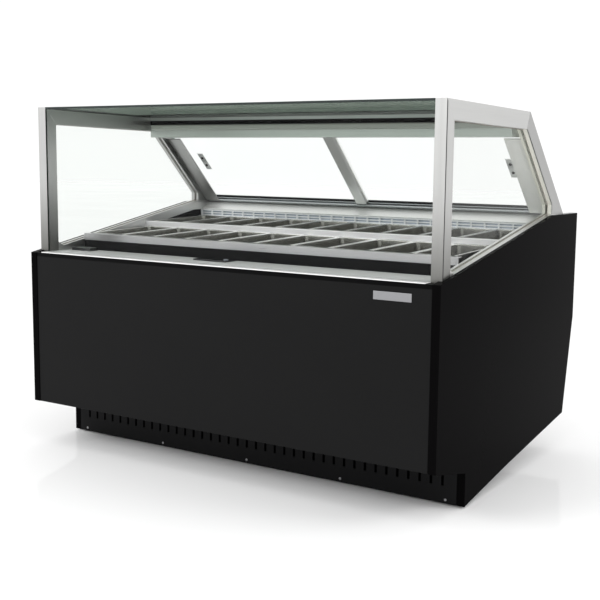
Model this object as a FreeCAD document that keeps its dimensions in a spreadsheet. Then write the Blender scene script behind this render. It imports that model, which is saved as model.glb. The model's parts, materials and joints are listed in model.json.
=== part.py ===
import os
import re

import FreeCAD
import Part
import Sketcher

# Gelato dipping cabinet: a black insulated body with profiled side panels, a stainless and glass
# canopy with sliding rear doors, and two rows of gelato pans on a tilted deck.
# Millimetres. X runs along the counter, +Y to the operator's side, +Z up. The origin is under the
# middle of the cabinet, on the floor. Outlines are written from the front plane backwards.

# ---------------------------------------------------------------- driving sizes
SIZES = {
    "width": (1800, "outside, over both side panels"),
    "depth": (1250, "front plane to rear edge of the side panels"),
    "height": (1347, "floor to top of the canopy at the front"),
    "side_thickness": (30, "side panel"),
    "panel_sheet": (3, "front, rear and plinth sheet"),
    "front_recess": (3, "front panel behind the side panels' front edges"),
    "front_top": (777, "top of the front panel above the floor"),
    "front_bottom": (173, "lower edge of the front panel"),
    "plinth_set_back": (228, "front plane to plinth"),
    "plinth_top": (123, "top of the plinth"),
    "floor_gap": (6, "floor to the lowest edge of plinth and side panels"),
    "belly_y": (582, "knee in the lower edge of the side panel"),
    "belly_z": (62, "height of that knee"),
    "heel_inset": (80, "rear lower corner, in from the rear edge"),
    "heel_z": (142, "height of the rear lower corner"),
    "tail_z": (531, "height where the rear edge turns vertical"),
    "shoulder_inset": (283, "flat top of the side panel, length"),
    "shoulder_z": (950, "height of that flat top"),
    "canopy_inset": (15, "canopy side in from the side panel's face"),
    "canopy_set_back": (41, "front posts behind the front plane"),
    "roof_length": (692, "flat part of the canopy, front to rear"),
    "roof_drop": (15, "fall of the roof towards the rear"),
    "canopy_foot_inset": (126, "foot of the rear slope in from the rear edge"),
    "frame_tube": (40, "canopy frame tube, across"),
    "post_depth": (56, "front post, front to rear"),
    "top_rail": (64, "canopy top rail, height"),
    "rear_stile": (60, "sloping rear member, width"),
    "bottom_rail": (38, "canopy bottom rail, height, all of it below the side panel's top edge"),
    "gusset": (30, "corner gusset at the foot of the sloping member"),
    "front_gusset": (26, "corner gusset at the foot of the front post"),
    "jamb_width": (75, "door jamb, inwards from the end frame"),
    "jamb_sheet": (6, "door jamb thickness"),
    "jamb_gap": (2, "door jamb to the door tracks"),
    "front_glass": (8, "front glass thickness"),
    "end_glass": (6, "end glass thickness"),
    "roof_glass": (8, "roof glass thickness"),
    "ledge_depth": (200, "front ledge, front to rear"),
    "ledge_lip": (20, "turned-down rear edge of the ledge"),
    "tub_wall": (20, "foam at the ends of the tub"),
    "tub_bottom": (500, "underside of the tub"),
    "tub_floor": (60, "foam under the tub"),
    "tub_rear_inset": (110, "rear of the tub in from the rear edge"),
    "tub_rear_wall": (60, "foam behind the tub"),
    "liner_sheet": (1.5, "stainless tub liner"),
    "deck_front": (262, "front rim of the front pan row"),
    "deck_z": (842, "height of that rim"),
    "deck_tilt": (1.5, "degrees that the pan rows rise to the rear"),
    "row_gap": (24, "top of the middle rail between the rows"),
    "row_step": (22, "rear row above the front row"),
    "rail_seat": (7, "rail under the pan rims"),
    "rail_height": (27, "deck rail face"),
    "rail_front": (20, "deck front rail before the first rim"),
    "rail_sheet": (2, "deck front rail sheet"),
    "pan_pitch": (165, "pan to pan along the counter"),
    "pan_length": (360, "pan rim, front to rear"),
    "pan_play": (1.5, "gap between neighbouring rims"),
    "pan_rim": (1.5, "rim thickness"),
    "pan_lip": (9, "rim width outside the pan's wall"),
    "pan_wall": (1.2, "pan wall"),
    "pan_depth": (120, "pan under its rim"),
    "pan_draft": (4, "degrees that the pan walls lean in"),
    "pan_corner": (16, "pan corner radius"),
    "grille_height": (28, "discharge grille above the rear pan rims"),
    "grille_sheet": (8, "discharge grille thickness"),
    "grille_foot": (20, "discharge grille's foot under the rear rims"),
    "grille_set_back": (12, "grille behind the rear row"),
    "cell_pitch": (60, "grille cell to cell"),
    "cell_bar": (5, "bar between grille cells"),
    "sill_gap": (1, "rear sill above the discharge grille"),
    "door_glass": (6, "sliding door glass"),
    "door_play": (1.5, "door glass to groove wall"),
    "door_gap": (5, "wall between the two grooves"),
    "groove_cover": (4.5, "outer lip of the tracks"),
    "groove_depth": (12, "depth of the track grooves"),
    "track_wall": (6.5, "inner wall of the tracks"),
    "track_lip": (5.7, "inner edge of the lower track above the sill"),
    "beam_reach": (95, "rear beam along the slope"),
    "beam_back": (70, "rear beam, in front of the canopy's rear corner"),
    "door_side_gap": (5, "door edge to end frame"),
    "door_overlap": (50, "meeting stile width"),
    "stile_skin": (2, "meeting stile wall over the glass"),
    "stile_gap": (2, "meeting stile to the tracks"),
    "pull_length": (100, "finger-pull plate, along the slope"),
    "pull_width": (30, "finger-pull plate, across"),
    "pull_sheet": (3, "finger-pull plate thickness"),
    "pull_inset": (76, "finger-pull plate to the door's outer edge"),
    "slot_pitch": (43, "plinth slot to slot"),
    "slot_width": (10, "plinth slot"),
    "slot_height": (38, "plinth slot"),
    "slot_z": (66, "lower end of the plinth slots"),
    "screw_pitch": (415, "plinth screw to screw"),
    "screw_z": (19, "plinth screws above the floor"),
    "screw_head": (5, "screw head radius"),
    "screw_head_height": (2.5, "screw head"),
    "screw_shank": (2, "screw shank radius"),
    "screw_reach": (8, "screw shank behind the plinth sheet"),
    "base_tube": (40, "base frame tube"),
    "foot_inset": (230, "levelling feet in from the side panels"),
    "foot_radius": (30, "levelling foot pad"),
    "foot_height": (14, "levelling foot pad"),
    "frame_gap": (22, "plinth to base frame"),
    "frame_rear_gap": (10, "base frame to the foot of the rear panel"),
    "stem_radius": (8, "levelling foot stem"),
    "rear_recess": (12, "rear panel inside the side panels' rear edges"),
    "louvre_pitch": (28, "rear louvre to louvre"),
    "louvre_height": (8, "rear louvre opening"),
    "louvre_width": (360, "rear louvre opening"),
    "louvre_rise": (60, "lowest louvre above the foot of the rear panel"),
    "inlet_inset": (120, "power inlet in from the left side panel"),
    "inlet_rise": (30, "power inlet above the knee of the rear panel"),
    "inlet_width": (48, "power inlet body"),
    "inlet_height": (28, "power inlet body"),
    "inlet_depth": (30, "power inlet body behind its flange"),
    "inlet_play": (0.3, "power inlet body to its cut-out"),
    "inlet_flange": (5, "power inlet flange beyond its body"),
    "inlet_wall": (5, "power inlet socket wall"),
    "inlet_cheek": (8, "power inlet socket wall at the sides"),
    "inlet_back": (4, "power inlet, behind its socket"),
    "badge_width": (138, "blank badge plate"),
    "badge_height": (28, "blank badge plate"),
    "badge_sheet": (2, "blank badge plate"),
    "badge_inset": (238, "badge's near edge from the right side"),
    "badge_drop": (62, "badge's lower edge below the top of the front panel"),
    "thermometer_width": (100, "ledge thermometer"),
    "thermometer_depth": (45, "ledge thermometer"),
    "thermometer_height": (12, "ledge thermometer"),
    "thermometer_inset": (30, "thermometer to the left end frame"),
    "thermometer_back": (43, "front posts to thermometer"),
    "control_left": (-170, "left edge of the control display"),
    "control_width": (150, "control display"),
    "control_depth": (64, "control display"),
    "control_height": (6, "control display"),
    "control_back": (23, "front posts to control display"),
    "button_inset": (22, "button centre to the display's right edge"),
    "button_radius": (9, "control button"),
    "button_height": (5, "control button"),
    "button_play": (0.3, "control button in its well"),
    "button_travel": (2, "floor of the well under the button"),
    "led_depth": (18, "lamp strip under the roof"),
    "led_height": (22, "lamp strip"),
    "led_drop": (60, "underside of the lamp strip below the roof's rear edge"),
    "led_inset": (20, "lamp strip's ends in from the end frames"),
    "condenser_width": (420, "condenser"),
    "condenser_height": (290, "condenser"),
    "condenser_core": (60, "condenser fins, front to rear"),
    "condenser_shroud": (54, "condenser fan shroud"),
    "condenser_fan": (120, "condenser fan radius"),
    "condenser_inset": (400, "condenser's middle in from the right side panel"),
    "condenser_back": (70, "plinth to condenser"),
    "evaporator_width": (900, "evaporator"),
    "evaporator_height": (150, "evaporator"),
    "evaporator_core": (70, "evaporator fins, front to rear"),
    "evaporator_shroud": (50, "evaporator fan shroud"),
    "evaporator_fan": (58, "evaporator fan radius"),
    "evaporator_back": (220, "evaporator's front before the tub's rear wall"),
    "fan_clearance": (8, "fan blade tip to shroud"),
    "fan_motor": (22, "fan motor"),
    "fan_bar": (24, "bar that carries the fan motor, height"),
    "fan_bar_sheet": (14, "the same bar, front to rear"),
    "fan_gap": (4, "fan motor to hub"),
    "fan_hub": (18, "fan hub, front to rear"),
    "blade_sheet": (3, "fan blade thickness"),
    "compressor_inset": (900, "compressor's middle in from the right side panel"),
    "compressor_radius": (94, "compressor shell"),
    "compressor_height": (190, "compressor shell"),
    "compressor_foot": (6, "compressor base plate"),
}
SLOT_COUNT = 39
SCREW_COUNT = 5
PANS_PER_ROW = 10
LOUVRE_COUNT = 9
BLADE_COUNT = 5
BLADE_PITCH = 28

# ---------------------------------------------------------------- sizes that follow from them
RULES = {
    "front": "-depth / 2",
    "half_width": "width / 2",
    "inner_half": "half_width - side_thickness",
    "heel_y": "depth - heel_inset",
    "shoulder_y": "depth - shoulder_inset",
    "side_rise": "(shoulder_z - front_top) / shoulder_y",
    "canopy_half": "half_width - canopy_inset",
    "clear_half": "canopy_half - frame_tube",
    "roof_rear_y": "canopy_set_back + roof_length",
    "roof_rear_z": "height - roof_drop",
    "roof_fall": "roof_drop / roof_length",
    "canopy_foot_y": "depth - canopy_foot_inset",
    "slope_run": "canopy_foot_y - roof_rear_y",
    "slope_drop": "roof_rear_z - shoulder_z",
    "slope_length": "sqrt(slope_run ^ 2 + slope_drop ^ 2)",
    "slope_cos": "slope_run / slope_length",
    "slope_sin": "slope_drop / slope_length",
    "stile_top": "(top_rail - rear_stile * (slope_cos + roof_fall * slope_sin))"
                 " / (slope_sin - roof_fall * slope_cos)",
    "stile_foot": "(roof_rear_z - rear_stile * slope_cos - front_top"
                  " - side_rise * (roof_rear_y - rear_stile * slope_sin))"
                  " / (slope_sin + side_rise * slope_cos)",
    "gusset_top": "stile_foot - gusset / slope_cos",
    "post_rear_y": "canopy_set_back + post_depth",
    "ledge_top": "front_top + panel_sheet",
    "tub_half": "inner_half - tub_wall",
    "liner_half": "tub_half - liner_sheet",
    "tub_rear_y": "depth - tub_rear_inset",
    "cavity_rear_y": "tub_rear_y - tub_rear_wall",
    "cavity_z": "tub_bottom + tub_floor",
    "rear_y": "depth - rear_recess",
    "sill_flat_y": "cavity_rear_y + 2 * panel_sheet",
    "tilt_cos": "cos(deck_tilt * 1deg)",
    "tilt_sin": "sin(deck_tilt * 1deg)",
    "row_two": "pan_length + row_gap",
    "deck_end": "row_two + pan_length + grille_set_back",
    "sill_front_y": "deck_front + (deck_end + grille_sheet) * tilt_cos",
    "sill_bottom": "deck_z + (deck_end + grille_sheet) * tilt_sin"
                   " + (row_step + grille_height) * tilt_cos + sill_gap",
    "door_band": "door_glass + 2 * door_play",
    "groove_outer": "groove_cover + door_band",
    "groove_inner": "groove_outer + door_gap",
    "groove_end": "groove_inner + door_band",
    "track_back": "groove_end + track_wall",
    "track_rise": "(track_back * slope_cos + track_lip) / slope_sin",
    "track_floor": "track_rise - groove_depth",
    "beam_floor": "beam_reach - groove_depth - 1",
    "door_top": "beam_floor + door_play",
    "door_foot": "slope_length - track_floor - door_play",
    "door_length": "door_foot - door_top",
    "door_half": "clear_half - door_side_gap + door_overlap / 2",
    "outer_door": "-groove_cover - door_play - door_glass",
    "inner_door": "-groove_inner - door_play - door_glass",
    "frame_top": "heel_z + base_tube",
    "machine_floor": "frame_top + panel_sheet",
    "control_y": "post_rear_y + control_back",
    "button_x": "control_left + control_width - button_inset",
    "button_y": "control_y + control_depth / 2",
    "button_well": "control_height - button_height",
}

doc = FreeCAD.newDocument("DippingCabinet")
sheet = doc.addObject("Spreadsheet::Sheet", "Sizes")
for row, (name, (number, meaning)) in enumerate(SIZES.items(), start=1):
    sheet.set(f"A{row}", meaning)
    sheet.set(f"B{row}", str(number))
    sheet.setAlias(f"B{row}", name)
doc.recompute()
PARTS = {}


def full(expression):
    """The expression with every rule written out and every size read from the sheet."""
    def swap(found):
        word = found.group(0)
        if word in RULES:
            return "(" + full(RULES[word]) + ")"
        return "Sizes." + word if word in SIZES else word
    return re.sub(r"[a-z_]+", swap, str(expression))


def value(expression):
    return float(sheet.evalExpression(full(expression)))


def bind(thing, path, expression):
    thing.setExpression(path, full(expression))


def slope(along, out):
    """A point on the canopy's rear slope: along it downwards, and out from its face."""
    return (f"roof_rear_y + ({along}) * slope_cos + ({out}) * slope_sin",
            f"roof_rear_z - ({along}) * slope_sin + ({out}) * slope_cos")


def deck(back, up):
    """A point on the tilted pan deck: back from the front rim, and up from it."""
    return (f"deck_front + ({back}) * tilt_cos - ({up}) * tilt_sin",
            f"deck_z + ({back}) * tilt_sin + ({up}) * tilt_cos")


def side_top(y):
    """Height of the side panel's sloping top edge."""
    return f"front_top + side_rise * ({y})"


def under_roof(y, down):
    return f"height - roof_fall * (({y}) - canopy_set_back) - ({down})"


# ---------------------------------------------------------------- building blocks
def body(name, x="0", y="0", z="0", tilt=None):
    """A body of its own, with its y counted from the cabinet's front plane."""
    made = doc.addObject("PartDesign::Body", name)
    made.Label = name
    if tilt:
        made.Placement = FreeCAD.Placement(FreeCAD.Vector(), FreeCAD.Rotation(FreeCAD.Vector(1, 0, 0), 1))
        bind(made, "Placement.Rotation.Angle", tilt)
    bind(made, "Placement.Base.x", x)
    bind(made, "Placement.Base.y", f"front + ({y})")
    bind(made, "Placement.Base.z", z)
    PARTS[name] = made
    return made


def sketch(owner, role, loops, lift=None):
    """A sketch on one of the body's own planes. A loop is a list of points or (x, y, radius)."""
    drawn = owner.newObject("Sketcher::SketchObject", owner.Name + "_outline")
    plane = [f for f in owner.Origin.OriginFeatures if f.Role == role][0]
    drawn.AttachmentSupport = [(plane, "")]
    drawn.MapMode = "FlatFace"
    if lift:
        bind(drawn, "AttachmentOffset.Base.z", lift)
    for loop in loops:
        if isinstance(loop, tuple):
            circle(drawn, *loop)
        else:
            polygon(drawn, loop)
    return drawn


def fix_point(drawn, edge, place, point=1):
    """Ties an edge's start, or a circle's centre (point 3), to a place measured from the origin."""
    for kind, expression in zip(("DistanceX", "DistanceY"), place):
        rule = Sketcher.Constraint(kind, -1, 1, edge, point, value(expression))
        drawn.setExpression(f"Constraints[{drawn.addConstraint(rule)}]", full(expression))


def polygon(drawn, places):
    spots = [FreeCAD.Vector(value(x), value(y), 0) for x, y in places]
    first = len(drawn.Geometry)
    count = len(spots)
    for i in range(count):
        drawn.addGeometry(Part.LineSegment(spots[i], spots[(i + 1) % count]), False)
    for i in range(count):
        joined = first + (i + 1) % count
        drawn.addConstraint(Sketcher.Constraint("Coincident", first + i, 2, joined, 1))
    for i in range(count):
        fix_point(drawn, first + i, places[i])


def circle(drawn, x, y, radius):
    centre = FreeCAD.Vector(value(x), value(y), 0)
    ring = Part.Circle(centre, FreeCAD.Vector(0, 0, 1), value(radius))
    edge = drawn.addGeometry(ring, False)
    fix_point(drawn, edge, (x, y), 3)
    rule = drawn.addConstraint(Sketcher.Constraint("Radius", edge, value(radius)))
    drawn.setExpression(f"Constraints[{rule}]", full(radius))


def rectangle(x0, x1, y0, y1):
    return [(x0, y0), (x1, y0), (x1, y1), (x0, y1)]


def feature(owner, kind, drawn, length, backwards=False, both_ways=False, taper=None):
    made = owner.newObject("PartDesign::" + kind, owner.Name + "_" + kind.lower())
    made.Profile = drawn
    bind(made, "Length", length)
    made.Reversed = backwards
    made.Midplane = both_ways
    if taper:
        bind(made, "TaperAngle", taper)
    drawn.Visibility = False
    return made


def pad(owner, role, loops, length, lift=None, **how):
    return feature(owner, "Pad", sketch(owner, role, loops, lift), length, **how)


def pocket(owner, role, loops, length, lift=None, **how):
    """A cut, checked to have taken something away."""
    doc.recompute()
    before = owner.Shape.Volume
    made = feature(owner, "Pocket", sketch(owner, role, loops, lift), length, **how)
    doc.recompute()
    if owner.Shape.Volume >= before:
        raise RuntimeError(owner.Label + ": a cut takes nothing away")
    return made


def row_of(owner, original, length, count):
    """Repeats a feature along X."""
    made = owner.newObject("PartDesign::LinearPattern", owner.Name + "_row")
    made.Originals = [original]
    made.Direction = ([f for f in owner.Origin.OriginFeatures if f.Role == "X_Axis"][0], [""])
    bind(made, "Length", length)
    made.Occurrences = count
    owner.Tip = made
    return made


def extrusion(name, outline, half):
    """A profile drawn in the YZ plane and run along the counter, the same length both ways."""
    made = body(name)
    pad(made, "YZ_Plane", [outline], f"2 * ({half})", both_ways=True)
    return made


def round_corners(owner, radius, length, top):
    """Rounds the upright edges, of at least one length, whose upper end is at one height."""
    doc.recompute()
    base = owner.Tip
    names = []
    for i, edge in enumerate(base.Shape.Edges, start=1):
        box = edge.BoundBox
        if box.ZLength > value(length) and abs(box.ZMax - value(top)) < 0.1:
            names.append(f"Edge{i}")
    made = owner.newObject("PartDesign::Fillet", owner.Name + "_round")
    made.Base = (base, names)
    bind(made, "Radius", radius)
    return made


def block(name, x0, x1, y0, y1, z0, z1, listed=True):
    """A plain block between two corners."""
    made = doc.addObject("Part::Box", name)
    made.Label = name
    bind(made, "Length", f"({x1}) - ({x0})")
    bind(made, "Width", f"({y1}) - ({y0})")
    bind(made, "Height", f"({z1}) - ({z0})")
    bind(made, "Placement.Base.x", x0)
    bind(made, "Placement.Base.y", f"front + ({y0})")
    bind(made, "Placement.Base.z", z0)
    if listed:
        PARTS[name] = made
    return made


def rod(name, radius, length, x, y, z, axis=None):
    """A round bar from a point along +Z, or along another axis."""
    made = doc.addObject("Part::Cylinder", name)
    made.Label = name
    if axis:
        turn = FreeCAD.Rotation(FreeCAD.Vector(0, 0, 1), FreeCAD.Vector(*axis))
        made.Placement = FreeCAD.Placement(FreeCAD.Vector(), turn)
    bind(made, "Radius", radius)
    bind(made, "Height", length)
    bind(made, "Placement.Base.x", x)
    bind(made, "Placement.Base.y", f"front + ({y})")
    bind(made, "Placement.Base.z", z)
    return made


def joined(name, kind, pieces):
    """Part::MultiFuse for one welded piece, Part::Compound for a group of loose ones."""
    made = doc.addObject(kind, name)
    made.Label = name
    if kind == "Part::Compound":
        made.Links = pieces
    else:
        made.Shapes = pieces
    PARTS[name] = made
    return made


# ---------------------------------------------------------------- side panels
SIDE_OUTLINE = [
    ("0", "front_bottom"),
    ("plinth_set_back", "plinth_top"),
    ("plinth_set_back", "floor_gap"),
    ("belly_y", "belly_z"),
    ("heel_y", "heel_z"),
    ("depth", "tail_z"),
    ("depth", "shoulder_z"),
    ("shoulder_y", "shoulder_z"),
    ("0", "front_top"),
]
# The canopy's bottom rail lies in a rebate along the top inner edge of each panel.
SEAT_FRONT = f"({side_top('canopy_set_back')}) - bottom_rail"
SEAT = [
    ("canopy_set_back", SEAT_FRONT),
    ("canopy_set_back", "height"),
    ("canopy_foot_y", "height"),
    ("canopy_foot_y", "shoulder_z - bottom_rail"),
    ("shoulder_y", "shoulder_z - bottom_rail"),
]
for name, left_edge, outwards, seat_from in (("side_panel_left", "-half_width", False, "side_thickness"),
                                             ("side_panel_right", "inner_half", True, None)):
    panel = body(name, x=left_edge)
    pad(panel, "YZ_Plane", [SIDE_OUTLINE], "side_thickness")
    pocket(panel, "YZ_Plane", [SEAT], "side_thickness - canopy_inset", lift=seat_from,
           backwards=outwards)

# ---------------------------------------------------------------- front panel, badge and plinth
# One folded sheet: a flange under the ledge, the tall face, and the return to the plinth.
extrusion("front_panel", [
    ("front_recess", "front_top"),
    ("front_recess", "front_bottom"),
    ("plinth_set_back", "plinth_top"),
    ("plinth_set_back + panel_sheet", "plinth_top"),
    ("plinth_set_back + panel_sheet", "plinth_top + panel_sheet"),
    ("front_recess + panel_sheet", "front_bottom + panel_sheet"),
    ("front_recess + panel_sheet", "front_top - panel_sheet"),
    ("canopy_set_back - 5", "front_top - panel_sheet"),
    ("canopy_set_back - 5", "front_top"),
], "inner_half")

block("front_badge", "half_width - badge_inset", "half_width - badge_inset + badge_width",
      "front_recess - badge_sheet", "front_recess",
      "front_top - badge_drop", "front_top - badge_drop + badge_height")

plinth = body("plinth", y="plinth_set_back")
pad(plinth, "XZ_Plane", [rectangle("-inner_half", "inner_half", "floor_gap", "plinth_top")],
    "panel_sheet", backwards=True)
SLOT_ROW = f"slot_pitch * {SLOT_COUNT - 1}"
first_slot = pocket(plinth, "XZ_Plane", [rectangle(
    f"-({SLOT_ROW} + slot_width) / 2", f"-({SLOT_ROW} - slot_width) / 2",
    "slot_z", "slot_z + slot_height")], "4 * panel_sheet", both_ways=True)
row_of(plinth, first_slot, SLOT_ROW, SLOT_COUNT)
SCREW_ROW = f"screw_pitch * {SCREW_COUNT - 1}"
first_hole = pocket(plinth, "XZ_Plane", [(f"-({SCREW_ROW}) / 2", "screw_z", "screw_shank")],
                    "4 * panel_sheet", both_ways=True)
row_of(plinth, first_hole, SCREW_ROW, SCREW_COUNT)

screws = []
for i in range(SCREW_COUNT):
    x = f"({i} - {(SCREW_COUNT - 1) / 2}) * screw_pitch"
    head = rod(f"screw_head_{i + 1}", "screw_head", "screw_head_height", x,
               "plinth_set_back - screw_head_height", "screw_z", axis=(0, 1, 0))
    shank = rod(f"screw_shank_{i + 1}", "screw_shank", "panel_sheet + screw_reach + 1", x,
                "plinth_set_back - 1", "screw_z", axis=(0, 1, 0))
    screw = doc.addObject("Part::MultiFuse", f"screw_{i + 1}")
    screw.Shapes = [head, shank]
    screws.append(screw)
joined("plinth_screws", "Part::Compound", screws)

# ---------------------------------------------------------------- base frame, feet, rear panel
# Square tube ring with two cross tubes, and the sheet that carries the cooling machine.
base = body("base_frame")
FRAME_FRONT = "plinth_set_back + frame_gap"
FRAME_REAR = "heel_y - rear_recess - frame_rear_gap"
CROSS = "width / 6"
pad(base, "XY_Plane", [
    rectangle("-inner_half", "inner_half", FRAME_FRONT, FRAME_REAR),
    rectangle("-inner_half + base_tube", f"-({CROSS}) - base_tube / 2",
              FRAME_FRONT + " + base_tube", FRAME_REAR + " - base_tube"),
    rectangle(f"-({CROSS}) + base_tube / 2", f"{CROSS} - base_tube / 2",
              FRAME_FRONT + " + base_tube", FRAME_REAR + " - base_tube"),
    rectangle(f"{CROSS} + base_tube / 2", "inner_half - base_tube",
              FRAME_FRONT + " + base_tube", FRAME_REAR + " - base_tube"),
], "base_tube", lift="heel_z")
pad(base, "XY_Plane", [rectangle("-inner_half", "inner_half", FRAME_FRONT, FRAME_REAR)],
    "panel_sheet", lift="frame_top")

feet = []
for i, side in enumerate(("-1", "0", "1")):
    for j, y in enumerate((FRAME_FRONT + " + base_tube / 2", FRAME_REAR + " - base_tube / 2")):
        x = f"{side} * (inner_half - foot_inset)"
        shoe = rod(f"foot_pad_{i}{j}", "foot_radius", "foot_height", x, y, "0")
        stem = rod(f"foot_stem_{i}{j}", "stem_radius", "heel_z - foot_height", x, y, "foot_height")
        foot = doc.addObject("Part::MultiFuse", f"foot_{i}{j}")
        foot.Shapes = [shoe, stem]
        feet.append(foot)
joined("levelling_feet", "Part::Compound", feet)

rear = extrusion("rear_panel", [
    ("rear_y", "shoulder_z - panel_sheet"),
    ("rear_y", "tail_z"),
    ("heel_y - rear_recess", "heel_z"),
    ("heel_y - rear_recess - panel_sheet", "heel_z"),
    ("rear_y - panel_sheet", "tail_z"),
    ("rear_y - panel_sheet", "shoulder_z - panel_sheet"),
], "inner_half")
INLET_X = "-inner_half + inlet_inset"
INLET_Z = "tail_z + inlet_rise"
louvres = []
for i in range(LOUVRE_COUNT):
    z = f"heel_z + louvre_rise + {i} * louvre_pitch"
    louvres.append(rectangle("-louvre_width / 2", "louvre_width / 2", z, z + " + louvre_height"))
# Louvres on the sloping lower part, and the cut-out for the power inlet.
pocket(rear, "XZ_Plane", louvres, "2 * depth", both_ways=True)
pocket(rear, "XZ_Plane", [rectangle(INLET_X, INLET_X + " + inlet_width",
                                    INLET_Z, INLET_Z + " + inlet_height")],
       "2 * depth", both_ways=True)

inlet = body("power_inlet", x=INLET_X, y="rear_y", z=INLET_Z)
pad(inlet, "XZ_Plane", [rectangle("-inlet_flange", "inlet_width + inlet_flange",
                                  "-inlet_flange", "inlet_height + inlet_flange")],
    "panel_sheet", backwards=True)
pad(inlet, "XZ_Plane", [rectangle("inlet_play", "inlet_width - inlet_play",
                                  "inlet_play", "inlet_height - inlet_play")], "inlet_depth")
pocket(inlet, "XZ_Plane", [rectangle("inlet_cheek", "inlet_width - inlet_cheek",
                                     "inlet_wall", "inlet_height - inlet_wall")],
       "inlet_depth + panel_sheet - inlet_back", lift="-panel_sheet", backwards=True)

# ---------------------------------------------------------------- insulated tub and liner
TUB_RIM = "front_top - panel_sheet"
tub = extrusion("tub_insulation", [
    ("front_recess + panel_sheet", "tub_bottom"),
    ("front_recess + panel_sheet", TUB_RIM),
    ("canopy_set_back", TUB_RIM),
    ("canopy_set_back", side_top("canopy_set_back")),
    ("shoulder_y", "shoulder_z"),
    ("sill_flat_y", "shoulder_z"),
    ("sill_flat_y", "shoulder_z - panel_sheet"),
    ("tub_rear_y", "shoulder_z - panel_sheet"),
    ("tub_rear_y", "tub_bottom"),
], "inner_half")
pocket(tub, "YZ_Plane", [[
    ("0", TUB_RIM),
    ("ledge_depth", TUB_RIM),
    ("ledge_depth", "cavity_z"),
    ("cavity_rear_y", "cavity_z"),
    ("cavity_rear_y", "sill_bottom"),
    ("depth", "sill_bottom"),
    ("depth", "height"),
    ("0", "height"),
]], "2 * tub_half", both_ways=True)

liner = extrusion("tub_liner", [
    ("ledge_depth", "cavity_z"),
    ("ledge_depth", side_top("ledge_depth")),
    ("shoulder_y", "shoulder_z"),
    ("cavity_rear_y", "shoulder_z"),
    ("cavity_rear_y", "cavity_z"),
], "tub_half")
pocket(liner, "YZ_Plane", [[
    ("0", TUB_RIM),
    ("ledge_depth + liner_sheet", TUB_RIM),
    ("ledge_depth + liner_sheet", "cavity_z + liner_sheet"),
    ("cavity_rear_y - liner_sheet", "cavity_z + liner_sheet"),
    ("cavity_rear_y - liner_sheet", "sill_bottom"),
    ("depth", "sill_bottom"),
    ("depth", "height"),
    ("0", "height"),
]], "2 * liner_half", both_ways=True)

for lined in (tub, liner):
    pocket(lined, "YZ_Plane", [SEAT], "frame_tube", lift="clear_half", backwards=True)
    pocket(lined, "YZ_Plane", [SEAT], "frame_tube", lift="-clear_half")

# ---------------------------------------------------------------- front ledge and its fittings
extrusion("front_ledge", [
    ("front_recess", "front_top"),
    ("front_recess", "ledge_top"),
    ("ledge_depth", "ledge_top"),
    ("ledge_depth", "ledge_top - ledge_lip"),
    ("ledge_depth - panel_sheet", "ledge_top - ledge_lip"),
    ("ledge_depth - panel_sheet", "front_top"),
], "clear_half")
# The ledge's rear lip hangs in a groove of the foam.
pocket(tub, "YZ_Plane", [rectangle("ledge_depth - panel_sheet", "ledge_depth + 1",
                                   "ledge_top - ledge_lip", "front_top")],
       "2 * clear_half", both_ways=True)
pocket(liner, "YZ_Plane", [rectangle("0", "ledge_depth + 2 * liner_sheet",
                                     "ledge_top - ledge_lip", "height")],
       "2 * clear_half", both_ways=True)

THERMOMETER_X = "-clear_half + thermometer_inset"
THERMOMETER_Y = "post_rear_y + thermometer_back"
block("ledge_thermometer", THERMOMETER_X, THERMOMETER_X + " + thermometer_width",
      THERMOMETER_Y, THERMOMETER_Y + " + thermometer_depth",
      "ledge_top", "ledge_top + thermometer_height")
display = body("control_display", x="control_left", y="control_y", z="ledge_top")
pad(display, "XY_Plane", [rectangle("0", "control_width", "0", "control_depth")], "control_height")
# The button stands in a round well, and goes down into it.
pocket(display, "XY_Plane", [("control_width - button_inset", "control_depth / 2",
                              "button_radius + button_play")],
       "button_height", lift="control_height")
button = body("control_button", x="button_x", y="button_y", z="ledge_top")
pad(button, "XY_Plane", [("0", "0", "button_radius")], "button_height",
    lift="button_well + button_travel")

# ---------------------------------------------------------------- pan deck
extrusion("deck_front_rail", [
    deck("-rail_front", "0"),
    deck("rail_seat", "0"),
    deck("rail_seat", "-rail_sheet"),
    deck("-rail_front + rail_sheet", "-rail_sheet"),
    deck("-rail_front + rail_sheet", "-rail_height"),
    deck("-rail_front", "-rail_height"),
], "clear_half")
extrusion("deck_middle_rail", [
    deck("pan_length - rail_seat", "0"),
    deck("pan_length + 1", "0"),
    deck("pan_length + 1", "row_step"),
    deck("row_two + rail_seat", "row_step"),
    deck("row_two + rail_seat", "row_step - rail_height"),
    deck("pan_length - rail_seat", "row_step - rail_height"),
], "clear_half")

# The discharge grille stands behind the rear row and carries the rear rims on its foot.
grille = extrusion("discharge_grille", [
    deck("row_two + pan_length - rail_seat", "row_step - grille_foot"),
    deck("row_two + pan_length - rail_seat", "row_step"),
    deck("deck_end", "row_step"),
    deck("deck_end", "row_step + grille_height"),
    deck("deck_end + grille_sheet", "row_step + grille_height"),
    deck("deck_end + grille_sheet", "row_step - grille_foot"),
], "clear_half")
CELL_ROW = "floor((2 * clear_half - cell_bar) / cell_pitch) * cell_pitch"
CELL_Z = f"({deck('deck_end', 'row_step')[1]})"
CELL_HALF = "(grille_height - 3 * cell_bar) / 2"
cells = []
for level in ("cell_bar", f"2 * cell_bar + {CELL_HALF}"):
    low = f"{CELL_Z} + {level}"
    cells.append(rectangle(f"-({CELL_ROW}) / 2 + cell_bar / 2",
                           f"-({CELL_ROW}) / 2 - cell_bar / 2 + cell_pitch",
                           low, f"{low} + {CELL_HALF}"))
first_cells = pocket(grille, "XZ_Plane", cells, "2 * depth", both_ways=True)
cell_count = round(value(CELL_ROW) / value("cell_pitch"))
row_of(grille, first_cells, f"({CELL_ROW}) - cell_pitch", cell_count)

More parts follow.
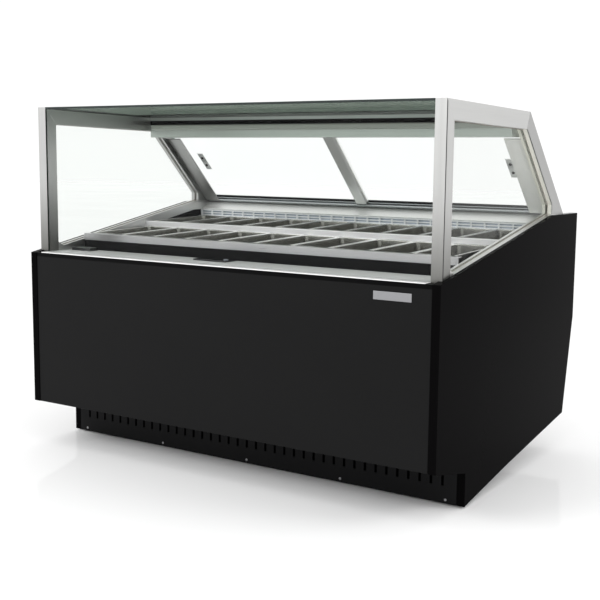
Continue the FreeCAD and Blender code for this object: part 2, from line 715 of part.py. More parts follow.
# Rear sill: a slope up from the grille, then flat to the rear panel.
sill = extrusion("rear_sill", [
    ("sill_front_y", "sill_bottom"),
    ("sill_front_y", "sill_bottom + panel_sheet"),
    ("sill_flat_y", "shoulder_z"),
    ("sill_flat_y + 1", "shoulder_z"),
    ("sill_flat_y + 1", "shoulder_z - panel_sheet"),
], "clear_half")
for near, half in (("sill_flat_y + 0.5", "clear_half"), ("canopy_foot_y", "inner_half")):
    pad(sill, "YZ_Plane", [rectangle(near, "rear_y", "shoulder_z - panel_sheet", "shoulder_z")],
        f"2 * {half}", both_ways=True)


# ---------------------------------------------------------------- pans
def pan(name, x, back, up):
    """One stainless gelato pan: a flat rim, and walls that lean in towards the bottom."""
    y, z = deck(back, up)
    made = body(name, x=x, y=y, z=z, tilt="deck_tilt")
    half = "(pan_pitch - pan_play) / 2"
    pad(made, "XY_Plane", [rectangle(f"-({half})", half, "0.5", "pan_length - 0.5")], "pan_rim")
    outer = rectangle(f"-({half}) + pan_lip", f"{half} - pan_lip", "pan_lip", "pan_length - pan_lip")
    pad(made, "XY_Plane", [outer], "pan_depth", backwards=True, taper="-pan_draft")
    inset = "pan_lip + pan_wall"
    inner = rectangle(f"-({half}) + {inset}", f"{half} - ({inset})",
                      inset, f"pan_length - ({inset})")
    pocket(made, "XY_Plane", [inner], "pan_depth + pan_rim - pan_wall", lift="pan_rim",
           taper="-pan_draft")
    round_corners(made, "pan_corner - pan_wall", "pan_depth / 2", "pan_rim")
    round_corners(made, "pan_corner", "pan_depth / 2", "0")
    return made


for number in range(1, PANS_PER_ROW + 1):
    centre = f"({number} - {(PANS_PER_ROW + 1) / 2}) * pan_pitch"
    pan(f"pan_front_{number:02d}", centre, "0", "0")
    pan(f"pan_rear_{number:02d}", centre, "row_two", "row_step")


# ---------------------------------------------------------------- canopy
END_OUTER = [
    ("canopy_set_back", SEAT_FRONT),
    ("canopy_set_back", "height"),
    ("roof_rear_y", "roof_rear_z"),
    ("canopy_foot_y", "shoulder_z"),
    ("canopy_foot_y", "shoulder_z - bottom_rail"),
    ("shoulder_y", "shoulder_z - bottom_rail"),
]
GUSSET = slope("gusset_top", "-rear_stile")
FRONT_GUSSET_Y = "post_rear_y + front_gusset"
END_INNER = [
    (FRONT_GUSSET_Y, side_top(FRONT_GUSSET_Y)),
    ("post_rear_y", f"({side_top('post_rear_y')}) + front_gusset * 0.8"),
    ("post_rear_y", under_roof("post_rear_y", "top_rail")),
    slope("stile_top", "-rear_stile"),
    GUSSET,
    (GUSSET[0], side_top(GUSSET[0])),
]
JAMB_BACK = "track_back + jamb_gap"
# The jamb ends above the lower track, or above the sill where that comes first.
JAMB_FOOT = (f"min(slope_length - track_rise - jamb_gap; (slope_drop - jamb_gap"
             f" - ({JAMB_BACK} + jamb_sheet) * slope_cos) / slope_sin)")
JAMB = [
    slope("beam_reach + jamb_gap", f"-({JAMB_BACK})"),
    slope(JAMB_FOOT, f"-({JAMB_BACK})"),
    slope(JAMB_FOOT, f"-({JAMB_BACK}) - jamb_sheet"),
    slope("beam_reach + jamb_gap", f"-({JAMB_BACK}) - jamb_sheet"),
]
for side, inner_face, outwards in (("left", "-clear_half", True), ("right", "clear_half", False)):
    ring = body(f"end_frame_{side}", x=inner_face)
    pad(ring, "YZ_Plane", [END_OUTER, END_INNER], "frame_tube", backwards=outwards)
    pad(ring, "YZ_Plane", [JAMB], "jamb_width", backwards=not outwards)
    # The jamb runs a little way into the tube that it is welded to.
    pad(ring, "YZ_Plane", [JAMB], "frame_tube / 4", backwards=outwards)
for side, face in (("left", "-clear_half - frame_tube / 2"),
                   ("right", "clear_half + frame_tube / 2 - end_glass")):
    pane = body(f"end_glass_{side}", x=face)
    pad(pane, "YZ_Plane", [END_INNER], "end_glass")

FRONT_GLASS_REAR = "canopy_set_back + front_glass"
extrusion("front_glass", [
    ("canopy_set_back", "ledge_top"),
    ("canopy_set_back", under_roof("canopy_set_back", "roof_glass")),
    (FRONT_GLASS_REAR, under_roof(FRONT_GLASS_REAR, "roof_glass")),
    (FRONT_GLASS_REAR, "ledge_top"),
], "clear_half")
extrusion("roof_glass", [
    ("canopy_set_back", "height"),
    ("roof_rear_y", "roof_rear_z"),
    ("roof_rear_y", "roof_rear_z - roof_glass"),
    ("canopy_set_back", "height - roof_glass"),
], "clear_half")

# Rear beam under the roof: a hollow-looking box section whose sloping side carries the grooves
# for the tops of the two sliding doors.
BEAM_FRONT = "roof_rear_y - beam_back"
UNDER_GLASS = "roof_rear_z - roof_glass"
extrusion("rear_beam", [
    (BEAM_FRONT, under_roof(BEAM_FRONT, "roof_glass")),
    ("roof_rear_y", UNDER_GLASS),
    slope("roof_glass / slope_sin", "0"),
    slope("beam_reach", "0"),
    slope("beam_reach", "-groove_cover"),
    slope("beam_floor", "-groove_cover"),
    slope("beam_floor", "-groove_outer"),
    slope("beam_reach", "-groove_outer"),
    slope("beam_reach", "-groove_inner"),
    slope("beam_floor", "-groove_inner"),
    slope("beam_floor", "-groove_end"),
    slope("beam_reach", "-groove_end"),
    slope("beam_reach", "-track_back"),
    (BEAM_FRONT, slope("beam_reach", "-track_back")[1]),
], "clear_half")
block("led_strip", "-clear_half + led_inset", "clear_half - led_inset",
      f"{BEAM_FRONT} - led_depth", BEAM_FRONT,
      "roof_rear_z - led_drop", "roof_rear_z - led_drop + led_height")

# ---------------------------------------------------------------- sliding rear doors
extrusion("door_track", [
    ("canopy_foot_y", "shoulder_z"),
    slope("slope_length - track_rise", "0"),
    slope("slope_length - track_rise", "-groove_cover"),
    slope("slope_length - track_floor", "-groove_cover"),
    slope("slope_length - track_floor", "-groove_outer"),
    slope("slope_length - track_rise", "-groove_outer"),
    slope("slope_length - track_rise", "-groove_inner"),
    slope("slope_length - track_floor", "-groove_inner"),
    slope("slope_length - track_floor", "-groove_end"),
    slope("slope_length - track_rise", "-groove_end"),
    slope("slope_length - track_rise", "-track_back"),
    slope("slope_length - track_back * slope_cos / slope_sin", "-track_back"),
], "clear_half")


def on_slope(name, x, along, out):
    """A body whose own y runs down the rear slope and whose z points out of it."""
    y, z = slope(along, out)
    return body(name, x=x, y=y, z=z, tilt="-atan2(slope_drop; slope_run)")


for side, out, outer_edge, step in (("left", "outer_door", "-(clear_half - door_side_gap)", 1),
                                    ("right", "inner_door", "clear_half - door_side_gap", -1)):
    glass = on_slope(f"door_glass_{side}", outer_edge, "door_top", out)
    pane_end = f"{step} * (door_half - stile_skin)"
    pad(glass, "XY_Plane", [rectangle("0", pane_end, "0", "door_length")], "door_glass")

    # Meeting stile: a channel over the free edge of the glass, between the two tracks.
    stile = on_slope(f"door_stile_{side}", outer_edge, "beam_reach + stile_gap", out)
    near = f"{step} * (door_half - door_overlap)"
    far = f"{step} * door_half"
    stile_length = "slope_length - track_rise - beam_reach - 2 * stile_gap"
    pad(stile, "XY_Plane", [rectangle(near, far, "0", stile_length)],
        "door_glass + 2 * stile_skin", lift="-stile_skin")
    pocket(stile, "XY_Plane", [rectangle(f"{step} * (door_half - door_overlap - 5)", pane_end,
                                         "-5", f"{stile_length} + 5")],
           "door_glass", lift="door_glass")

    plate = on_slope(f"door_pull_{side}", outer_edge, "slope_length / 2 - pull_length / 2", out)
    pad(plate, "XY_Plane", [rectangle(f"{step} * pull_inset", f"{step} * (pull_inset + pull_width)",
                                      "0", "pull_length")],
        "pull_sheet", lift="door_glass")


# ---------------------------------------------------------------- cooling machine
def cooler(kind, x, y, z):
    """A finned block with a fan shroud behind it, and the motor on a bar across the shroud."""
    made = body(kind + "_coil", x=x, y=y, z=z)
    half, height, core = f"{kind}_width / 2", f"{kind}_height", f"{kind}_core"
    block_face = rectangle(f"-{half}", half, "0", height)
    bore = f"{kind}_fan + fan_clearance"
    pad(made, "XZ_Plane", [block_face], core, backwards=True)
    pad(made, "XZ_Plane", [block_face, ("0", f"{height} / 2", bore)], f"{kind}_shroud",
        lift=f"-({core})", backwards=True)
    # The bar's ends run a little way into the shroud.
    pad(made, "XZ_Plane", [rectangle(f"-({bore}) - 4", f"{bore} + 4",
                                     f"{height} / 2 - fan_bar / 2", f"{height} / 2 + fan_bar / 2")],
        "fan_bar_sheet", lift=f"-({core})", backwards=True)
    pad(made, "XZ_Plane", [("0", f"{height} / 2", f"{kind}_fan / 3")], "fan_motor",
        lift=f"-({core})", backwards=True)
    return made


def fan(kind, x, coil_y, coil_z):
    """Hub and blades behind the motor, turning about Y."""
    name, radius = kind + "_rotor", kind + "_fan"
    y = f"{coil_y} + {kind}_core + fan_motor + fan_gap"
    z = f"{coil_z} + {kind}_height / 2"
    pieces = [rod(name + "_hub", f"{radius} / 3.4", "fan_hub", x, y, z, axis=(0, 1, 0))]
    for i in range(BLADE_COUNT):
        blade = doc.addObject("Part::Box", f"{name}_blade_{i + 1}")
        bind(blade, "Length", f"{radius} * 0.78")
        bind(blade, "Width", "blade_sheet")
        bind(blade, "Height", f"{radius} / 2.6")
        spin = FreeCAD.Rotation(FreeCAD.Vector(0, 1, 0), 360 / BLADE_COUNT * i)
        turn = spin.multiply(FreeCAD.Rotation(FreeCAD.Vector(1, 0, 0), BLADE_PITCH))
        # Each blade starts inside the hub, its width centred on the hub's radius line.
        radial = turn.multVec(FreeCAD.Vector(1, 0, 0))
        across = turn.multVec(FreeCAD.Vector(0, 1, 0))
        along = turn.multVec(FreeCAD.Vector(0, 0, 1))
        blade.Placement = FreeCAD.Placement(FreeCAD.Vector(), turn)
        for axis, middle in (("x", x), ("y", f"front + {y} + fan_hub / 2"), ("z", z)):
            bind(blade, "Placement.Base." + axis,
                 f"{middle} + {getattr(radial, axis):.6f} * {radius} * 0.2"
                 f" - {getattr(across, axis):.6f} * blade_sheet / 2"
                 f" - {getattr(along, axis):.6f} * {radius} / 5.2")
        pieces.append(blade)
    return joined(kind + "_fan", "Part::MultiFuse", pieces)


CONDENSER = ("inner_half - condenser_inset", "plinth_set_back + condenser_back", "machine_floor")
EVAPORATOR = ("0", "cavity_rear_y - evaporator_back", "cavity_z + liner_sheet")
for kind, place in (("condenser", CONDENSER), ("evaporator", EVAPORATOR)):
    cooler(kind, *place)
    fan(kind, *place)

compressor = body("compressor", x="inner_half - compressor_inset", y="depth / 2", z="machine_floor")
pad(compressor, "XY_Plane", [rectangle("-compressor_radius * 1.3", "compressor_radius * 1.3",
                                       "-compressor_radius * 0.85", "compressor_radius * 0.85")],
    "compressor_foot")
# Half of the domed shell's profile, as shares of its radius and height.
SHELL = [(0, 0.02), (0.94, 0.02), (1, 0.11), (1, 0.68), (0.85, 0.87), (0.48, 0.97), (0, 1)]
shell = sketch(compressor, "XZ_Plane", [[
    (f"compressor_radius * {across}", f"compressor_height * {up}") for across, up in SHELL]])
dome = compressor.newObject("PartDesign::Revolution", "compressor_dome")
dome.Profile = shell
dome.ReferenceAxis = (shell, ["V_Axis"])
dome.Angle = 360

# ---------------------------------------------------------------- check and write
doc.recompute()
for thing in doc.Objects:
    if "Invalid" in thing.State or "Error" in thing.State:
        raise RuntimeError(f"{thing.Label} failed: {thing.State}")
for name, made in PARTS.items():
    if made.Shape.isNull() or not made.Shape.isValid() or not made.Shape.Solids:
        raise RuntimeError(f"{name} has no valid solid")
os.makedirs("parts", exist_ok=True)
for name, made in PARTS.items():
    made.Shape.exportStep(f"parts/{name}.step")
print(len(PARTS), "parts written")
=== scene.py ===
import json
import math

import bmesh
import bpy
from mathutils import Matrix, Vector

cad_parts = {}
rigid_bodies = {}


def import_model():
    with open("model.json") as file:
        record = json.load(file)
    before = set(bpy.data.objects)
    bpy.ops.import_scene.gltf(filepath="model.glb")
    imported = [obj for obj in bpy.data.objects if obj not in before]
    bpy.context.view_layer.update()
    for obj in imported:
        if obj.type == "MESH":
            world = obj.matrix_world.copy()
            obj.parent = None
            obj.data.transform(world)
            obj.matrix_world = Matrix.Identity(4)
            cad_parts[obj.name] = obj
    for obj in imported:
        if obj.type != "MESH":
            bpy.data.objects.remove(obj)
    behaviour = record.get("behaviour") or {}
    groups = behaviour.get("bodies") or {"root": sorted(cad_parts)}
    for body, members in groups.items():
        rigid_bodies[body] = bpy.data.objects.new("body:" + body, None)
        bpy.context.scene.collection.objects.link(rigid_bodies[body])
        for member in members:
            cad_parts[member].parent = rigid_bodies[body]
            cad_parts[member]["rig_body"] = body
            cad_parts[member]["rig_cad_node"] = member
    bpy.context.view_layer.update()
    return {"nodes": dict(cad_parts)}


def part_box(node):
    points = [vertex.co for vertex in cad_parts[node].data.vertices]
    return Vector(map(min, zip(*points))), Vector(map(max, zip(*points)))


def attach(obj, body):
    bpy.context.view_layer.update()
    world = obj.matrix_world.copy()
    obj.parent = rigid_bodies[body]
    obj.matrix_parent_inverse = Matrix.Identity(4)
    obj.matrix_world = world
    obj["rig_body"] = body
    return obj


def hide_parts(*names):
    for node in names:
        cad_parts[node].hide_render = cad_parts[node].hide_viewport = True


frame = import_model()
nodes = frame["nodes"]

# ------------------------------------------------------------------ side panels
# Two thick boards with black laminate on both faces and along every edge.
# They stand on edge and carry the whole cabinet, so their outline is its side view.


class Number:
    """A shader number: a sum written with it adds the Math nodes that it needs."""

    def __init__(self, finish, socket):
        self.finish = finish
        self.socket = socket

    def sum(self, operation, *others):
        return self.finish.node("Math", {"operation": operation}, dict(enumerate((self, *others))))

    def __add__(self, other):
        return self.sum("ADD", other)

    def __sub__(self, other):
        return self.sum("SUBTRACT", other)

    def __rsub__(self, other):
        return (self * -1) + other

    def __mul__(self, other):
        return self.sum("MULTIPLY", other)

    __radd__ = __add__
    __rmul__ = __mul__

    def size(self):
        return self.sum("ABSOLUTE")

    def above(self, start, full):
        """0 below start, 1 above full, and a smooth rise between them."""
        return self.finish.node("MapRange", {"interpolation_type": "SMOOTHSTEP", "clamp": True},
                                {"Value": self, "From Min": start, "From Max": full})


class Finish:
    """One procedural material. Fixed numbers sit on the surface's own sockets."""

    def __init__(self, name, **fixed):
        self.material = bpy.data.materials.new(name)
        self.material.use_nodes = True
        self.tree = self.material.node_tree
        self.surface = self.tree.nodes["Principled BSDF"]
        self.set(self.surface, {socket.replace("_", " "): value for socket, value in fixed.items()})

    def set(self, node, sockets):
        for socket, value in sockets.items():
            if isinstance(value, Number):
                self.tree.links.new(value.socket, node.inputs[socket])
            else:
                node.inputs[socket].default_value = value

    def node(self, kind, settings, sockets, out=0):
        made = self.tree.nodes.new("ShaderNode" + kind)
        for name, value in settings.items():
            setattr(made, name, value)
        self.set(made, sockets)
        return Number(self, made.outputs[out])

    def vary(self, **sockets):
        self.set(self.surface, {socket.replace("_", " "): value for socket, value in sockets.items()})

    def place(self, grain=(1, 1, 1), turn=(0, 0, 0)):
        """Object coordinates, counted in grains: grain is one grain's size in metres."""
        spot = self.node("TexCoord", {}, {}, "Object")
        return self.node("Mapping", {"vector_type": "TEXTURE"},
                         {"Vector": spot, "Rotation": [math.radians(a) for a in turn], "Scale": grain})

    def noise(self, grain, turn=(0, 0, 0), detail=2.0):
        return self.node("TexNoise", {}, {"Vector": self.place(grain, turn), "Scale": 1.0,
                                          "Detail": detail})

    def facing(self, axis):
        """The size of the surface normal's part along X, Y or Z."""
        normal = self.node("TexCoord", {}, {}, "Normal")
        return self.node("SeparateXYZ", {}, {"Vector": normal}, axis).size()

    def height(self, axis):
        """The place along X, Y or Z, in metres."""
        return self.node("SeparateXYZ", {}, {"Vector": self.node("TexCoord", {}, {}, "Object")}, axis)

    def mix(self, share, first, second):
        return self.node("Mix", {"data_type": "RGBA"}, {0: share, 6: first, 7: second}, 2)

    def bump(self, height, depth, strength=1.0):
        self.vary(Normal=self.node("Bump", {}, {"Height": height, "Distance": depth,
                                                "Strength": strength}))


def work_on(piece):
    """Leaves only this piece selected."""
    bpy.ops.object.select_all(action="DESELECT")
    piece.select_set(True)
    bpy.context.view_layer.objects.active = piece


def solid_copy(name, node):
    """A copy of a cabinet part, its loose triangles joined up into flat faces."""
    piece = nodes[node].copy()
    piece.data = piece.data.copy()
    piece.name = piece.data.name = name
    piece.parent = None
    del piece["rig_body"], piece["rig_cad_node"]
    bpy.context.scene.collection.objects.link(piece)
    work_on(piece)
    bpy.ops.mesh.customdata_custom_splitnormals_clear()
    bpy.ops.object.mode_set(mode="EDIT")
    bpy.ops.mesh.select_all(action="SELECT")
    bpy.ops.mesh.remove_doubles(threshold=0.00002)
    bpy.ops.mesh.dissolve_limited(angle_limit=math.radians(0.5))
    bpy.ops.object.mode_set(mode="OBJECT")
    return piece


def soften(piece, radius, segments=2, corner=40):
    """Rounds every sharp edge a little, and keeps the flat faces flat in the shading."""
    work_on(piece)
    edges = piece.modifiers.new("edges", "BEVEL")
    edges.width, edges.segments = radius, segments
    edges.limit_method, edges.angle_limit = "ANGLE", math.radians(corner)
    bpy.ops.object.modifier_apply(modifier="edges")
    bpy.ops.object.shade_smooth_by_angle(angle=math.radians(35))
    piece.modifiers.new("shading", "WEIGHTED_NORMAL").keep_sharp = True
    bpy.ops.object.modifier_apply(modifier="shading")
    return piece


def mount(piece, body, finish, slot, *stands_for):
    """Gives a piece its material, and puts it on its body in place of its plain parts."""
    piece.data.materials.clear()
    piece.data.materials.append(finish.material)
    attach(piece, body)
    if stands_for:
        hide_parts(*stands_for)
    return piece


laminate = Finish("black laminate", Base_Color=(0.0030, 0.0028, 0.0030, 1), Specular_IOR_Level=0.004)
smears = laminate.noise((0.5, 0.3, 0.4), detail=3)
laminate.vary(Roughness=smears * 0.10 + 0.10)
laminate.bump(laminate.noise((0.012, 0.012, 0.012), detail=1), 0.0002, 0.2)
for side in ("left", "right"):
    mount(soften(solid_copy(f"laminate_side_{side}", f"side_panel_{side}"), 0.0012),
          "cabinet", laminate, "black_laminate", f"side_panel_{side}")

# ------------------------------------------------------------------ front panel and badge
# One folded steel sheet, powder coated in satin charcoal, hooked under the ledge.
# Its top 16 mm is painted near black as the shadow under the ledge, and a small plain plate is riveted
# near the right end.
# A band along the top of the sheet is painted near black: painted shadow cast by the ledge above.
LEDGE_SHADOW_BAND = 0.016
charcoal = Finish("charcoal powder coat", Specular_IOR_Level=0.05)
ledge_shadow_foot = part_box("front_panel")[1].z - LEDGE_SHADOW_BAND
ledge_shadow = charcoal.height("Z").above(ledge_shadow_foot, ledge_shadow_foot + 0.001)
cloud = charcoal.noise((0.6, 0.6, 0.35), detail=3)
coat_colour = charcoal.mix(cloud, (0.0090, 0.0090, 0.0092, 1), (0.0108, 0.0108, 0.0110, 1))
charcoal.vary(Base_Color=charcoal.mix(ledge_shadow, coat_colour, (0.0010, 0.0010, 0.0012, 1)),
              Roughness=charcoal.noise((0.05, 0.05, 0.05)) * 0.12 + 0.42)
charcoal.bump(charcoal.noise((0.0012, 0.0012, 0.0012), detail=1), 0.00008, 0.35)
mount(soften(solid_copy("front_sheet", "front_panel"), 0.0008), "cabinet", charcoal, "black_paint",
      "front_panel")

satin = Finish("satin plate", Metallic=1.0, Base_Color=(0.30, 0.30, 0.31, 1))
satin.vary(Roughness=satin.noise((0.03, 0.0004, 0.0004)) * 0.2 + 0.3)
mount(soften(solid_copy("blank_plate", "front_badge"), 0.0008, 3), "cabinet", satin, "badge",
      "front_badge")

# ------------------------------------------------------------------ plinth
# A black sheet set back under the body, with a long row of slots for the cooling air and a
# black filter mat close behind them. Five round-headed screws hold it to the base frame.
satin_black = Finish("satin black", Base_Color=(0.0075, 0.0075, 0.008, 1), Specular_IOR_Level=0.08)
satin_black.vary(Roughness=satin_black.noise((0.2, 0.2, 0.1)) * 0.15 + 0.38)
satin_black.bump(satin_black.noise((0.0015, 0.0015, 0.0015), detail=1), 0.00008, 0.3)
mount(soften(solid_copy("slotted_plinth", "plinth"), 0.0007), "cabinet", satin_black, "black_paint",
      "plinth")


def choose(piece, kind, test):
    """Selects the faces, edges or verts of the piece in edit mode that pass the test."""
    drawn = bmesh.from_edit_mesh(piece.data)
    bpy.ops.mesh.select_all(action="DESELECT")
    for item in getattr(drawn, kind):
        if test(item):
            item.select_set(True)
    drawn.select_flush_mode()
    bmesh.update_edit_mesh(piece.data)


def edit(piece, mode):
    work_on(piece)
    bpy.ops.object.mode_set(mode="EDIT")
    bpy.ops.mesh.select_mode(type=mode)


def slab(name, size, centre):
    """A plain block, left in edit mode."""
    bpy.ops.object.select_all(action="DESELECT")
    bpy.ops.mesh.primitive_cube_add(size=1)
    piece = bpy.context.object
    piece.name = piece.data.name = name
    edit(piece, "FACE")
    bpy.ops.transform.resize(value=size)
    bpy.ops.transform.translate(value=centre)
    return piece


mat_foam = Finish("filter foam", Base_Color=(0.0012, 0.0012, 0.0012, 1), Specular_IOR_Level=0.02,
                  Roughness=0.9)
mat_foam.bump(mat_foam.noise((0.003, 0.003, 0.003)), 0.001, 0.6)
plinth_low, plinth_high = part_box("plinth")
MAT_BACK, MAT_THICK, MAT_SIDE, MAT_FOOT, MAT_HEAD = 0.006, 0.008, 0.005, 0.029, 0.001
filter_mat = slab("filter_mat",
                  (plinth_high.x - plinth_low.x - 2 * MAT_SIDE, MAT_THICK,
                   plinth_high.z - plinth_low.z - MAT_FOOT - MAT_HEAD),
                  (0, plinth_high.y + MAT_BACK + MAT_THICK / 2,
                   (plinth_high.z + plinth_low.z + MAT_FOOT - MAT_HEAD) / 2))
bpy.ops.mesh.subdivide(number_cuts=3)
bpy.ops.object.mode_set(mode="OBJECT")
mount(soften(filter_mat, 0.002), "cabinet", mat_foam, "black_paint")

zinc = Finish("zinc", Metallic=1.0)
zinc.vary(Base_Color=zinc.mix(zinc.noise((0.003, 0.003, 0.003)), (0.24, 0.24, 0.25, 1),
                              (0.42, 0.42, 0.43, 1)),
          Roughness=zinc.noise((0.001, 0.001, 0.001)) * 0.2 + 0.3)
mount(soften(solid_copy("plinth_screw_heads", "plinth_screws"), 0.0012, 3), "cabinet", zinc, "zinc",
      "plinth_screws")

# ------------------------------------------------------------------ base frame, feet and rear panel
# The welded frame and the folded rear sheet are powder coated black like the plinth.
# Six screw-in feet with dark rubber pads level the cabinet.
for name, node, edge in (("welded_base", "base_frame", 0.002), ("louvred_back", "rear_panel", 0.0008)):
    mount(soften(solid_copy(name, node), edge), "cabinet", satin_black, "black_paint", node)
rubber = Finish("foot rubber", Specular_IOR_Level=0.3)
rubber.vary(Base_Color=rubber.mix(rubber.noise((0.01, 0.01, 0.01)), (0.012, 0.012, 0.012, 1),
                                  (0.024, 0.023, 0.022, 1)),
            Roughness=rubber.noise((0.004, 0.004, 0.004)) * 0.2 + 0.6)
mount(soften(solid_copy("screw_feet", "levelling_feet"), 0.002, 3), "cabinet", rubber, "foot_rubber",
      "levelling_feet")
moulding = Finish("black moulding", Base_Color=(0.012, 0.012, 0.013, 1))
moulding.vary(Roughness=moulding.noise((0.002, 0.002, 0.002)) * 0.15 + 0.4)
mount(soften(solid_copy("inlet_socket", "power_inlet"), 0.001), "cabinet", moulding, "inlet_plastic",
      "power_inlet")

# ------------------------------------------------------------------ insulated tub and liner
# Foam with a black skin, lined with stainless sheet. The two end walls are black above the pans.
skin = Finish("black foam skin", Base_Color=(0.005, 0.005, 0.0055, 1), Specular_IOR_Level=0.04)
skin.vary(Roughness=skin.noise((0.02, 0.02, 0.02)) * 0.2 + 0.35)
nodes["tub_insulation"].material_slots[0].material = skin.material
lining = Finish("tub lining", Specular_IOR_Level=0.04)
end_wall = lining.facing("X").above(0.4, 0.6)
lining.vary(Base_Color=lining.mix(end_wall, (0.42, 0.42, 0.41, 1), (0.006, 0.006, 0.007, 1)),
            Metallic=1 - end_wall,
            Roughness=lining.noise((0.2, 0.001, 0.001)) * 0.15 + 0.25)
nodes["tub_liner"].material_slots[0].material = lining.material

# ------------------------------------------------------------------ front ledge and its fittings
# A stainless strip along the front, bent down at its back, near white and matt: painted reflection
# stands in for its bright shine. A dial thermometer lies at its left end, and a gloss black touch
# plate with a round key by its middle.


def brushed(name, turn, tone, gloss, spread=0.14, tint=(1, 1, 0.985), metallic=1.0,
            shade=None):
    """Grained stainless steel. The grain runs along Y until it is turned. A shade, given as two
    heights, darkens the steel below the first and leaves it as it is above the second."""
    steel = Finish(name, Metallic=metallic)
    fine = steel.noise((0.0011, 0.14, 0.0011), turn, 3)
    streak = steel.noise((0.012, 0.9, 0.012), turn, 2)
    dark = tuple(tone * 0.86 * t for t in tint) + (1,)
    light = tuple(min(1, tone * 1.10 * t) for t in tint) + (1,)
    colour = steel.mix(fine * 0.6 + streak * 0.4, dark, light)
    if shade:
        colour = steel.mix(steel.height("Z").above(*shade), (0.16, 0.16, 0.15, 1), colour)
    steel.vary(Base_Color=colour,
               Roughness=fine * spread + streak * (spread / 2) + gloss)
    steel.bump(fine, 0.00004, 0.25)
    return steel


ALONG_X, ALONG_Y, ALONG_Z = (0, 0, 90), (0, 0, 0), (90, 0, 0)
# The ledge steel is near white and barely metallic: its brightness is painted reflection.
polished = brushed("polished ledge", ALONG_X, 0.94, 0.12, 0.07, metallic=0.08)
mount(soften(solid_copy("polished_ledge", "front_ledge"), 0.0009), "cabinet", polished,
      "bright_steel", "front_ledge")

case = Finish("instrument case", Base_Color=(0.008, 0.008, 0.009, 1))
case.vary(Roughness=case.noise((0.004, 0.004, 0.004)) * 0.1 + 0.25)
window = Finish("instrument window", Specular_IOR_Level=0.5)
window.vary(Base_Color=window.mix(window.noise((0.03, 0.02, 0.01)), (0.16, 0.19, 0.17, 1),
                                  (0.34, 0.38, 0.34, 1)),
            Roughness=window.noise((0.02, 0.02, 0.02)) * 0.05 + 0.05)
DIAL_FRAME, DIAL_SUNK = 0.005, 0.0012
dial = solid_copy("dial_thermometer", "ledge_thermometer")
edit(dial, "FACE")
choose(dial, "faces", lambda f: f.normal.z > 0.9)
bpy.ops.mesh.inset(thickness=DIAL_FRAME)
bpy.ops.transform.translate(value=(0, 0, -DIAL_SUNK))
bpy.ops.object.mode_set(mode="OBJECT")
soften(dial, 0.0012, 3)
mount(dial, "cabinet", case, "thermometer", "ledge_thermometer")
dial.data.materials.append(window.material)
WINDOW_AREA = 0.002
for face in dial.data.polygons:
    if face.normal.z > 0.99 and face.area > WINDOW_AREA:
        face.material_index = 1

touch = Finish("touch plate", Base_Color=(0.004, 0.004, 0.005, 1), Specular_IOR_Level=0.5)
touch.vary(Roughness=touch.noise((0.03, 0.03, 0.03)) * 0.06 + 0.04)
mount(soften(solid_copy("touch_plate", "control_display"), 0.0012, 3), "cabinet", touch,
      "control_black", "control_display")
key = Finish("key cap", Base_Color=(0.20, 0.22, 0.25, 1))
key.vary(Roughness=key.noise((0.002, 0.002, 0.002)) * 0.1 + 0.35)
mount(soften(solid_copy("round_key", "control_button"), 0.0012, 3), "control_button", key,
      "button_grey", "control_button")

# ------------------------------------------------------------------ pan deck
# Bent stainless rails carry the pans' rims: one in front, and a step between the two rows.
# A black moulded apron closes the gap under the front rail, behind the ledge.
# The step rail is near white and partly diffuse, as painted light; the front rail is a darker copy of
# the same steel, as painted shade.
rail = brushed("lit deck rail", ALONG_X, 0.9, 0.24, tint=(1, 0.985, 1.01), metallic=0.6)
shaded_rail = brushed("shaded rail", ALONG_X, 0.42, 0.2, tint=(1, 0.985, 1.01))
for name, node, steel in (("front_rail", "deck_front_rail", shaded_rail),
                          ("step_rail", "deck_middle_rail", rail)):
    mount(soften(solid_copy(name, node), 0.0006), "cabinet", steel, "bright_steel", node)

front_rail_low, front_rail_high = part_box("deck_front_rail")
APRON_FOOT, APRON_THICK, APRON_BACK, APRON_PLAY = 0.748, 0.003, 0.0005, 0.001
APRON_BORDER, APRON_SUNK = 0.012, 0.0012
apron = slab("front_apron",
             (front_rail_high.x - front_rail_low.x - 2 * APRON_PLAY, APRON_THICK,
              front_rail_low.z - APRON_FOOT),
             (0, front_rail_low.y + APRON_THICK / 2 + APRON_BACK, (front_rail_low.z + APRON_FOOT) / 2))
choose(apron, "faces", lambda f: f.normal.y < -0.9)
bpy.ops.mesh.inset(thickness=APRON_BORDER)
bpy.ops.transform.translate(value=(0, APRON_SUNK, 0))
bpy.ops.object.mode_set(mode="OBJECT")
mount(soften(apron, 0.0008), "cabinet", skin, "black_paint")

# ------------------------------------------------------------------ discharge grille and rear sill
# A moulded row of cells blows cold air over the pans, with a pale sheet close behind the cells.
# Behind it a stainless sill slopes up to the door track.
pale = Finish("pale moulding", Specular_IOR_Level=0.4)
patches = pale.noise((0.05, 0.02, 0.02))
pale.vary(Base_Color=pale.mix(patches, (0.88, 0.89, 0.92, 1), (0.94, 0.95, 0.97, 1)),
          Roughness=pale.noise((0.003, 0.003, 0.003)) * 0.15 + 0.35)
mount(soften(solid_copy("cell_grille", "discharge_grille"), 0.0008), "cabinet", pale, "grille",
      "discharge_grille")
grille_low, grille_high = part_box("discharge_grille")
misty = Finish("air guide", Metallic=0.6)
haze = misty.noise((0.02, 0.02, 0.004))
misty.vary(Base_Color=misty.mix(haze, (0.34, 0.39, 0.48, 1), (0.55, 0.60, 0.68, 1)),
           Roughness=misty.noise((0.005, 0.005, 0.005)) * 0.2 + 0.3)
bpy.ops.object.select_all(action="DESELECT")
bpy.ops.mesh.primitive_plane_add(size=1)
guide = bpy.context.object
guide.name = guide.data.name = "air_guide"
edit(guide, "FACE")
